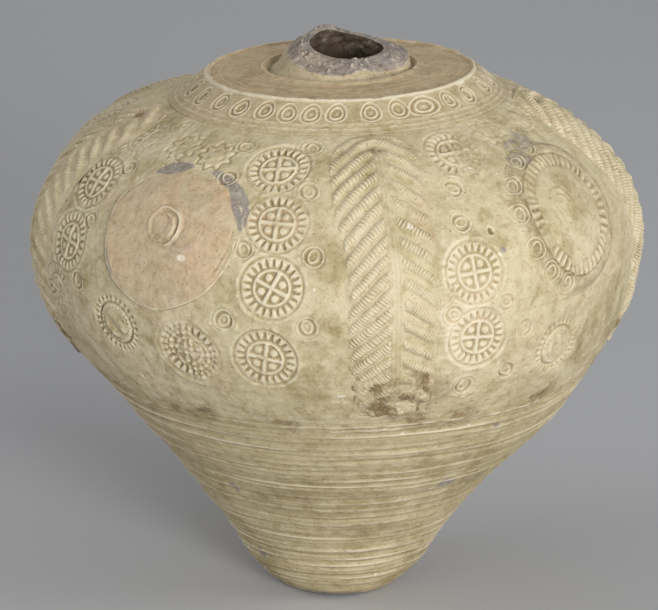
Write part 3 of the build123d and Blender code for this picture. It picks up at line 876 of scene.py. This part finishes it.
def neckStump():
    # Rows go up the side in a cove with a roll, over the break from its outer to its rim curve, and down the
    # bore. The break has ragged steps and pits, strongest across it, and the bore has wavy torn layers.
    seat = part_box("shoulder_collar")[1].z / toMetres - collar["crestHeight"] - collar["socketDepth"]
    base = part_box("neck_stump")[0].z / toMetres
    azimuths = allRound(neck["columns"])
    outerZ, outerR, rimZ, rimR = (
        roundAxis(azimuths, neck[key])[None] for key in ("outerHeight", "outerRadius", "rimHeight", "rimRadius"))
    up = np.linspace(0, 1, neck["sideRows"], endpoint=False)[:, None]
    sideR = neck["seatRadius"] + (outerR - neck["seatRadius"]) * up**0.8 + neck["rollBulge"] * bell(up, 0.14, 0.14)
    sideZ = seat + (outerZ - seat) * up**1.15
    over = np.linspace(0, 1, neck["breakRows"], endpoint=False)[:, None]
    breakR = outerR + (rimR - outerR) * over
    breakZ = outerZ + (rimZ - outerZ) * (1 - (1 - over) ** 1.6)
    down = np.linspace(0, 1, neck["boreRows"])[:, None]
    boreR = neck["boreRadius"] + (rimR - neck["boreRadius"]) * (1 - down) ** 2.2
    boreZ = rimZ + (base - rimZ) * down
    broken = aroundAxis(azimuths[None], breakR, breakZ)
    torn = 0.50 * layeredNoise(broken, 4.5, 3, 101) + 0.42 * layeredNoise(broken, 0.9, 3, 102)
    steps = neck["stepHeight"] * np.round(2.2 * valueNoise(broken, 7, 103)) / 2.2
    breakZ = breakZ + (torn + steps) * np.sin(np.pi * np.clip(over * 0.9 + 0.07, 0, 1))
    breakR = breakR + 0.35 * layeredNoise(broken, 3.0, 3, 104) * np.sin(np.pi * np.clip(over + 0.05, 0, 1))
    inside = aroundAxis(azimuths[None], boreR, boreZ)
    layers = neck["layerDepth"] * np.abs(np.sin(boreZ * 1.9 + 2.5 * valueNoise(inside, 6, 105)))
    layers = layers + 0.70 * layeredNoise(inside, 2.6, 4, 106)
    boreR = boreR + layers * smoothStep(0.0, 0.10, down) * (1 - down)
    radii = np.concatenate([sideR, breakR, boreR])
    heights = np.concatenate([sideZ, breakZ, boreZ])
    # The heights above are where the break lies after the collar has sunk, so the sink is added back
    spots = aroundAxis(azimuths[None], radii, heights)
    heights = heights + collarSink(spots[..., 0], spots[..., 1]) * smoothStep(seat, seat + 2.0, heights)
    points = aroundAxis(azimuths[None], radii, heights)
    onSide, onBreak, boreShade = np.zeros((3, *radii.shape))
    breakEnd = neck["sideRows"] + neck["breakRows"]
    onSide[:neck["sideRows"]] = 1.0
    onBreak[neck["sideRows"]:breakEnd] = 1.0
    # Painted shade down the bore, darker deeper in, drawn with the dirt colour
    boreShade[breakEnd:] = 0.85 + 1.1 * smoothStep(0.08, 0.36, down + 0.16 * layeredNoise(inside * [1, 1, 2], 2.4, 3, 110))
    marks = {
        # Painted shade in the dips of the break, and a little painted highlight on its bumps
        "hollow": np.clip((softened(heights, 12) - heights) / 0.45, -0.45, 1) * onBreak,
        "pink": onSide,  # slip still lies on the outside of the stump
        "soot": onBreak * patches(-0.7, 0.9, points, 3.0, 4, 107) * 0.8,
        # Down the bore this dirt mark is painted shade; on the break it is dirt
        "dirt": np.maximum(boreShade, 0.35 * onBreak * patches(0.1, 0.6, points, 3.5, 3, 108)),
        "chip": 0.35 * onBreak * patches(0.45, 0.9, points, 2.4, 3, 109),
    }
    hiddenR, hiddenZ = runThrough([
        (neck["spigotRadius"], base), (neck["spigotRadius"], seat), (neck["seatRadius"] - 0.3, seat)],
        neck["hiddenStep"])
    gridPiece("neck_stump_broken", points, turnedRings(azimuths, hiddenR, hiddenZ), marks, coreClay,
              "neck_stump", loopRows=True, loopColumns=True)


neckStump()

panel = {
    "foot": 3.0, "tip": 65.2,  # along the dome's outline from the seam, as in the two tables below
    "width": ((0, 5.8), (6, 7.4), (18, 8.8), (33, 9.6), (48, 9.7), (56, 9.4), (60, 8.6), (63, 6.8), (66.5, 4.6)),
    "leftEnd": ((0, 8.6), (20, 9.2), (35, 9.6), (44, 10.2), (52, 11.4), (58, 11.2), (66, 10.0)),
    "crown": 1.30, "sunk": 0.6, "fullWidth": 19.2,
    "step": {"front": 0.125, "right": 0.16, "back": 0.16, "left": 0.16},
    "midribWidth": 1.25, "midribTop": 60.0,
    "leftSlope": 46.5, "leftPitch": 3.25, "leftBarb": 0.74,
    "rightSlope": 37.0, "rightPitch": 3.80, "rightBarb": 0.60,
    "tipSlope": 42.0, "tipBand": (44, 62), "tipHollow": (-0.6, 1.9, 60.2, 1.3),
    "barbHeight": 0.70, "toothPitch": 0.64, "toothDepth": 0.34,
    # A white chip beside the front panel's midrib: its place across and along, and half its size each way
    "chip": (4.3, 42.6, 0.9, 1.1),
}
panelHands = {  # midrib's distance from the middle at foot, belly and tip; how worn each half is; seed
    "front": ((0.0, 0.6), (30.0, 0.7), (64.0, 0.0), 0.08, 0.22, 111),
    "right": ((0.0, 0.4), (30.0, 0.8), (64.0, 0.2), 0.25, 0.15, 121),
    "back": ((0.0, 0.8), (30.0, 0.5), (64.0, 0.5), 0.2, 0.3, 131),
    "left": ((0.0, 0.3), (30.0, 0.6), (64.0, 0.3), 0.2, 0.2, 141),
}


def leafPanel(place):
    # A leaf with a crowned section, (1 - share^2) across its half width. Barbs run down and out from the
    # midrib: phase = (arc + |u| tan(slope)) / pitch, on each side its own. Near the tip both sides share one
    # slope, so that their barbs meet in an arch. Teeth cross each barb as a cosine of the length along it.
    azimuth = panelAzimuths[place]
    *ribLine, wornLeft, wornRight, seed = panelHands[place]
    foot, tip, step = panel["foot"], panel["tip"], panel["step"][place]
    arcs = np.linspace(foot, tip, int((tip - foot) / step))[None]
    share = np.linspace(-1, 1, int(panel["fullWidth"] / step))[:, None]
    halfWidth = throughPoints(arcs, panel["width"]) + 0.25 * layeredNoise(alongOnly(arcs), 4, 2, seed + 1)
    u = share * halfWidth
    turn = azimuth + np.degrees(u / radiusAt(arcs))
    bare = onDome(turn, arcs, 0.0)
    ends = smoothStep(foot, foot + 8, arcs) * smoothStep(tip + 0.3, tip - 4, arcs)
    body = panel["crown"] * (1 - share**2) ** 1.1 * (0.45 + 0.55 * ends)
    rib = u - throughPoints(arcs, ribLine) - 0.5 * valueNoise(alongOnly(arcs + 0 * u), 18, seed + 2)
    across = np.abs(rib)
    left = rib < 0
    slope = np.where(left, panel["leftSlope"], panel["rightSlope"])
    slope = np.radians(slope + (panel["tipSlope"] - slope) * smoothStep(*panel["tipBand"], arcs))
    slope = slope * (1 + 0.06 * valueNoise(bare, 16, seed + 3))
    pitch = np.where(left, panel["leftPitch"], panel["rightPitch"])
    rounded = np.sqrt(across**2 + 2.0**2) - 2.0
    rise = arcs - tip + rounded * np.tan(slope) * (1 - 0.10 * across / 12)
    phase = (rise + 0.40 * valueNoise(bare, 7, seed + 4)) / pitch + 0.15
    off = np.abs(phase % 1 - 0.5) * 2
    barb = np.clip(1 - (off / np.where(left, panel["leftBarb"], panel["rightBarb"])) ** 2, 0, 1) ** 0.7
    along = across * np.cos(slope) - arcs * np.sin(slope) + 0.37 * np.floor(phase)
    along = along + 0.35 * valueNoise(bare, 2.0, seed + 5)
    teeth = wave(2 * np.pi * along / panel["toothPitch"]) * (0.85 + 0.5 * valueNoise(bare, 1.4, seed + 14))
    rubbed = np.where(left, wornLeft, wornRight) + 0.40 * layeredNoise(bare, 6, 3, seed + 6)
    keep = 1 - 0.80 * np.clip(rubbed, 0, 1)
    midrib = smoothStep(panel["midribWidth"] * 1.3, panel["midribWidth"] * 0.7, across)
    midrib = midrib * smoothStep(panel["midribTop"] + 1, panel["midribTop"] - 1, arcs)
    leftEnd = throughPoints(arcs, panel["leftEnd"]) + 0.5 * valueNoise(bare, 3.5, seed + 13)
    fade = np.where(left, smoothStep(leftEnd, leftEnd - 0.8, across), smoothStep(8.6, 6.2, across))
    fade = fade * (1 - midrib) * smoothStep(1.0, 0.93, np.abs(share)) * smoothStep(tip, tip - 1.2, arcs)
    footMess = smoothStep(15, 8, arcs + 3.0 * layeredNoise(bare, 5, 3, seed + 7))
    barbs = fade * keep * (1 - 0.75 * footMess)
    relief = barbs * (panel["barbHeight"] * barb - panel["toothDepth"] * teeth * smoothStep(0.1, 0.6, barb) - 0.16)
    relief += midrib * (1 - footMess) * (0.08 + 0.05 * np.cos(2 * np.pi * rib / 0.8))
    crumbs = 0.20 * np.abs(layeredNoise(bare, 1.0, 2, seed + 9))
    relief += footMess * (0.40 * layeredNoise(bare, 2.4, 4, seed + 8) + crumbs)
    hollowU, hollowWidth, hollowArc, hollowLength = panel["tipHollow"]
    tipHollow = bell(rib, hollowU, hollowWidth) * bell(arcs, hollowArc, hollowLength)
    relief -= 0.55 * tipHollow
    relief += 0.07 * layeredNoise(bare, 2.2, 4, seed + 10)
    lift = body + relief * (0.2 + 0.8 * smoothStep(1.0, 0.92, np.abs(share))) + unevenness(bare)
    # Painted shade in the grooves and painted highlight on the barbs and teeth
    hollow = hollows(relief, 9 if place == "front" else 6, 0.26)
    dirt = np.maximum(0.95 * footMess * patches(-0.7, 0.5, bare, 2.8, 4, seed + 11), 0.8 * tipHollow)
    # Painted shade deeper in the grooves between the barbs, strongest low on the panel and fading out towards the tip
    dirt = np.maximum(dirt, 0.75 * smoothStep(0.05, 0.7, hollow) * smoothStep(52, 8, arcs) * fade)
    chip = 0.50 * smoothStep(0.45, 0.9, rubbed) * smoothStep(0.1, -0.5, hollow)
    if place == "front":
        chipU, chipArc, chipWidth, chipLength = panel["chip"]
        far = np.hypot((u - chipU) / chipWidth, (arcs - chipArc) / chipLength)
        speck = smoothStep(1.0, 0.55, far + 0.6 * valueNoise(bare, 0.9, 118))
        chip = np.maximum(chip, speck)
        lift = lift - 0.2 * speck
    lift = lift - 0.16 * smoothStep(0.985, 1.0, np.abs(share)) - 0.12
    # The underside, sunk in the dome
    under = np.array([1.0, 1.0, 0.5, 0.0, -0.5, -1.0, -1.0])[:, None]
    depth = -panel["sunk"] * np.array([0.25, 1.0, 1.0, 1.0, 1.0, 1.0, 0.25])[:, None]
    underTurn = azimuth + np.degrees(under * halfWidth / radiusAt(arcs))
    marks = {"hollow": hollow, "dirt": dirt, "chip": chip, "pink": 0.4 * patches(0.1, 0.7, bare, 10, 3, seed + 12)}
    gridPiece("leaf_panel_" + place + "_pressed", onDome(turn, arcs, lift), onDome(underTurn, arcs, depth + 0 * arcs),
              marks, panelClay, "leaf_panel_" + place, loopRows=True)


for place in panelAzimuths:
    leafPanel(place)

medallion = {
    "height": 86.0, "thickness": 1.1, "sunk": 0.6, "rings": 104, "spokes": 420,
    "fullRadius": 16.5, "beadRing": 12.1, "beadWidth": 2.4, "beads": 44, "beadHeight": 0.58, "stampDepth": 1.25,
}
roundels = {  # azimuth, radius, how far it slid up as it was laid, lean to the right, squeeze across
    "front_left": (scar["azimuth"], scar["radius"], scar["height"] - medallion["height"], 0.0, 1.0),
    "front_right": (54.5, 16.5, 1.5, 0.10, 0.93),
    "rear_right": (136.5, 14.9, 0.0, 0.0, 1.0),
    "rear_left": (225.5, 16.5, 0.0, 0.04, 0.97),
}


def onRoundel(place, turn, rho, lift):
    # Point at an angle and a distance from the roundel's middle: u = rho cos(turn) along the dome and
    # v = rho sin(turn) up it, leaned and squeezed
    azimuth, _, raised, lean, squeeze = roundels[place]
    u, v = rho * np.cos(turn), rho * np.sin(turn)
    arc = arcAt(medallion["height"] + raised) + v
    return onDome(azimuth + np.degrees((squeeze * u + lean * v) / radiusAt(arc)), arc, lift)


def roundelGrid(rim):
    # Rings from the middle out to the rim, where rim is the radius at each spoke
    turn = np.radians(allRound(medallion["spokes"]))[None]
    share = np.linspace(0.006, 1, medallion["rings"])[:, None] ** 0.92
    rho = share * rim(turn)
    return share, turn, rho, rho * np.cos(turn), rho * np.sin(turn)


def layRoundel(place, lift, marks, rho, turn, material):
    # The pad, then its underside, sunk in the dome
    inwards = np.array([1.0, 0.7, 0.35, 0.02])[:, None]
    underside = onRoundel(place, turn, inwards * rho[-1:], -medallion["sunk"])
    gridPiece("roundel_" + place + "_laid", onRoundel(place, turn, rho, lift), underside, marks, material,
              "roundel_" + place, loopColumns=True)


def scarRoundel(place):
    # A low plate left where a medallion came away: a flat middle with a faint crescent stamp, and an edge that
    # stands proud at the lower left (a squared cosine of the angle) and has a bell-shaped groove along the top
    def rim(turn):
        return scar["radius"] + 0.30 * np.cos(2 * turn) + 0.20 * np.sin(3 * turn + 1) + 0.12 * np.sin(7 * turn)

    share, turn, rho, u, v = roundelGrid(rim)
    bare = onRoundel(place, turn, rho, 0.0)
    inFrom = rim(turn) - rho  # distance in from the rim
    lowLeft = wave(turn - math.radians(235))
    top = smoothStep(0.2, 0.9, np.cos(turn - math.radians(100)))
    right = smoothStep(0.80, 0.97, np.cos(turn - math.radians(2)))
    edgeLift = 0.12 + 0.80 * lowLeft**2 - 0.15 * right
    lift = 0.55 + (edgeLift - 0.55) * smoothStep(0.55, 0.95, share)
    lift = lift + 0.12 * valueNoise(bare, 9, 151) + 0.04 * layeredNoise(bare, 3, 3, 152)
    lift -= 0.75 * top * bell(inFrom, 0.6, 0.45)
    lift -= 0.25 * right * (bell(inFrom, 0.9, 0.22) + bell(inFrom, 1.9, 0.22))
    stampU, stampV = u + 0.8, v - 1.2
    torn = smoothStep(-1.0, -2.6, stampV) * smoothStep(4.0, 3.2, np.hypot(stampU, stampV))
    warp = 0.35 * valueNoise(bare, 2.2, 155)
    stamp = crescentStamp((stampU + warp) / 1.18, (stampV - warp) / 1.18)
    kept = 0.30 + 0.60 * smoothStep(-0.6, 0.9, np.cos(np.arctan2(stampV, stampU) - 0.5))
    lift += stamp * kept * (1 - 0.5 * torn) + 0.35 * torn * layeredNoise(bare, 1.5, 3, 153)
    lift += 0.09 * layeredNoise(bare, 1.8, 4, 156) + unevenness(bare)
    lift = np.where(share > 0.985, np.minimum(lift, -0.1 + 0.4 * lowLeft), lift)
    arc = arcAt(scar["height"]) + v
    whiteChip = smoothStep(1.2, 0.7, np.hypot(u - 4.9, (v + 4.2) * 1.5))
    marks = {
        # Painted shade in hollows and painted highlight on crests
        "hollow": hollows(lift, 6, 0.22),
        "soot": np.maximum(scarSoot(scar["azimuth"] + np.degrees(u / radiusAt(arc)), arc),
                           0.42 * patches(0.0, 0.8, bare, 5, 4, 157)),
        # Painted shadow in the groove under the top edge; dirt in the torn part of the stamp
        "dirt": 1.2 * top * bell(inFrom, 0.7, 0.45) + 0.35 * torn,
        # Painted highlight on the proud lower-left edge, and a white chip
        "chip": np.maximum(0.45 * lowLeft**6 * smoothStep(0.94, 0.98, share), whiteChip),
        "pink": 0.45 * patches(-0.2, 0.7, bare, 11, 3, 154),
    }
    layRoundel(place, lift, marks, rho, turn, scarClay)


def beadedRoundel(place, seed, rimStamps):
    # A raised pad with small ring stamps on its rim, then a ring of beads (a cosine of the angle under half
    # an ellipse of the distance) round a middle that bulges as 1 - rho^2 and carries a faint crescent stamp
    radius = roundels[place][1]
    scale = radius / medallion["fullRadius"]

    def rim(turn):
        return radius * (1 + 0.012 * np.sin(3 * turn + seed) + 0.010 * np.sin(5 * turn))

    share, turn, rho, u, v = roundelGrid(rim)
    bare = onRoundel(place, turn, rho, 0.0)
    beadWidth = medallion["beadWidth"] * scale
    ringOuter = medallion["beadRing"] * scale
    ringInner = ringOuter - beadWidth
    lift = medallion["thickness"] * smoothStep(radius, radius - 2.6, rho) * (0.85 + 0.15 * np.cos(turn - 2.5))
    middle = 0.15 + 0.30 * (1 - np.clip(rho / ringInner, 0, 1) ** 2)
    lift = lift + middle * smoothStep(ringInner + 0.3, ringInner - 0.5, rho)
    wander = 0.9 * valueNoise(bare, 3, seed + 1)
    across = np.clip(1 - ((rho - (ringOuter + ringInner) / 2) / (beadWidth / 2 + 0.15)) ** 2, 0, 1)
    bead = wave(turn * medallion["beads"] + 2 * wander)
    wear = 0.30 + 0.70 * patches(-0.5, 0.6, bare, 4, 3, seed + 2)
    lift += medallion["beadHeight"] * wear * np.sqrt(across) * (bead**0.8 - 0.2)
    lift -= 0.18 * bell(rho, ringOuter + 0.35, 0.3) + 0.10 * bell(rho, ringInner - 0.2, 0.35)
    lift += 0.45 * crescentStamp((u + 2.0 + wander) * 1.05, (v - 1.0) * 0.80) * wave(turn - 2.2)
    stamped = np.zeros_like(lift)
    for angle, far in rimStamps:
        du, dv = u - far * math.cos(math.radians(angle)), v - far * math.sin(math.radians(angle))
        stamped += np.where(np.hypot(du, dv) < stamping["ringReach"], ringStamp(du, dv), 0)
    lift += medallion["stampDepth"] * stamped + 0.10 * valueNoise(bare, 7, seed + 3)
    lift += 0.08 * layeredNoise(bare, 2.0, 4, seed + 4) * (rho > ringInner - 0.5)
    lift += unevenness(bare)
    lift = np.where(share > 0.985, -0.15, lift)
    # Painted shade in hollows and painted highlight on crests, beads and rings
    hollow = hollows(lift, 7, 0.3)
    inRing = smoothStep(ringInner - 0.6, ringInner, rho) * smoothStep(ringOuter + 0.8, ringOuter, rho)
    onRim = smoothStep(ringOuter - 1, ringOuter + 1, rho) * smoothStep(radius, radius - 2, rho)
    marks = {
        "hollow": hollow,
        # Painted shade in the hollows of the bead ring, and the rim band a little darker
        "dirt": 0.60 * inRing * smoothStep(-0.3, 0.5, hollow) + 0.38 * onRim,
        "chip": 0.22 * smoothStep(ringInner - 0.5, ringInner - 2, rho) * patches(-0.4, 0.6, bare, 9, 1, seed + 5),
        "pink": 0.3 * patches(0.1, 0.7, bare, 9, 3, seed + 6),
    }
    if place == "front_right":  # the scorch beside it runs over its rim
        marks["soot"] = 0.55 * spotField(bare, skin["soot"][:2])
    layRoundel(place, lift, marks, rho, turn, panelClay)


# Each with the angle and distance of the ring stamps on its rim
scarRoundel("front_left")
beadedRoundel("front_right", 161, ((94, 15.0), (118, 14.6), (145, 14.6), (170, 14.7), (198, 14.6), (221, 14.5),
                                   (243, 14.2)))
beadedRoundel("rear_right", 171, ((70, 13.2), (200, 13.2), (228, 13.2), (255, 13.0)))
beadedRoundel("rear_left", 181, ((60, 14.8), (84, 14.7), (108, 14.8), (205, 14.6), (232, 14.6), (258, 14.5),
                                 (284, 14.6)))

studio = {
    "floor": "#B9BABD", "floorRoughness": 0.9, "floorHalf": 4000.0, "backdrop": "#D8DADD", "worldStrength": 0.32,
    # Azimuth, elevation, distance and size in metres, and watts. All look at the belly, at this height in metres.
    "lamps": {"key": (21, 12, 1.3, 0.40, 11.9), "side": (60, 34, 1.3, 0.40, 3.1), "fill": (-92, 30, 1.5, 0.80, 4.6)},
    "lampAim": 0.07,
    "elevation": 18.3, "distance": 1000.0, "aim": (-1.725, 0.0, 57.0), "lift": 0.9,
    "lens": 272.7, "sensor": 36.0, "clip": (0.05, 20.0),
}


def makeFloor():
    # A flat sheet of paper, wide enough to fill the picture from every side
    half = studio["floorHalf"] * toMetres
    mesh = bpy.data.meshes.new("floor")
    mesh.from_pydata([(-half, -half, 0), (half, -half, 0), (half, half, 0), (-half, half, 0)], [], [(0, 1, 2, 3)])
    material = bpy.data.materials.new("matt studio paper")
    material.use_nodes = True
    shader = material.node_tree.nodes["Principled BSDF"]
    shader.inputs["Base Color"].default_value = linear(studio["floor"])
    shader.inputs["Roughness"].default_value = studio["floorRoughness"]
    mesh.materials.append(material)
    floor = bpy.data.objects.new("floor", mesh)
    bpy.context.scene.collection.objects.link(floor)


def softLight(name, azimuth, elevation, distance, size, watts):
    # A square lamp that looks at the axis of the pot
    lamp = bpy.data.lights.new(name, "AREA")
    lamp.size, lamp.energy = size, watts
    holder = bpy.data.objects.new(name, lamp)
    bpy.context.scene.collection.objects.link(holder)
    a, e = math.radians(azimuth), math.radians(elevation)
    away = np.array([math.sin(a) * math.cos(e), -math.cos(a) * math.cos(e), math.sin(e)])
    holder.location = away * distance + [0, 0, studio["lampAim"]]
    holder.rotation_euler = (math.radians(90 - elevation), 0, a)


def paleWorld():
    # Even light from all round; the camera and reflections see a pale backdrop instead
    world = bpy.data.worlds.new("studio")
    bpy.context.scene.world = world
    world.use_nodes = True
    tree = world.node_tree
    tree.nodes.clear()
    ray = addNode(tree, "ShaderNodeLightPath").outputs
    clear = ray["Is Camera Ray"]
    for other in ("Is Glossy Ray", "Is Transmission Ray"):
        clear = addNode(tree, "ShaderNodeMath", {"operation": "MAXIMUM"}, {"0": clear, "1": ray[other]}).outputs[0]
    dim, pale = (
        addNode(tree, "ShaderNodeBackground", {"Color": colour, "Strength": strength}).outputs[0]
        for colour, strength in (((1, 1, 1, 1), studio["worldStrength"]), (linear(studio["backdrop"]), 1.0)))
    mixed = addNode(tree, "ShaderNodeMixShader", {}, {"0": clear, "1": dim, "2": pale})
    addNode(tree, "ShaderNodeOutputWorld", {}, {"Surface": mixed.outputs[0]})


def setCamera():
    # At the photo's angle, looking at the aim point after it is lifted square to the view
    camera = bpy.data.cameras.new("camera")
    camera.lens, camera.sensor_width = studio["lens"], studio["sensor"]
    camera.clip_start, camera.clip_end = studio["clip"]
    viewer = bpy.data.objects.new("camera", camera)
    bpy.context.scene.collection.objects.link(viewer)
    tilt = math.radians(studio["elevation"])
    aim = np.array(studio["aim"]) + studio["lift"] * np.array([0, math.sin(tilt), math.cos(tilt)])
    away = np.array([0, -math.cos(tilt), math.sin(tilt)])
    viewer.location = (aim + studio["distance"] * away) * toMetres
    viewer.rotation_euler = (math.radians(90 - studio["elevation"]), 0, 0)
    bpy.context.scene.camera = viewer


makeFloor()
for name, numbers in studio["lamps"].items():
    softLight(name, *numbers)
paleWorld()
setCamera()
bpy.context.scene.view_settings.view_transform = "Standard"

print("whole scene ready")
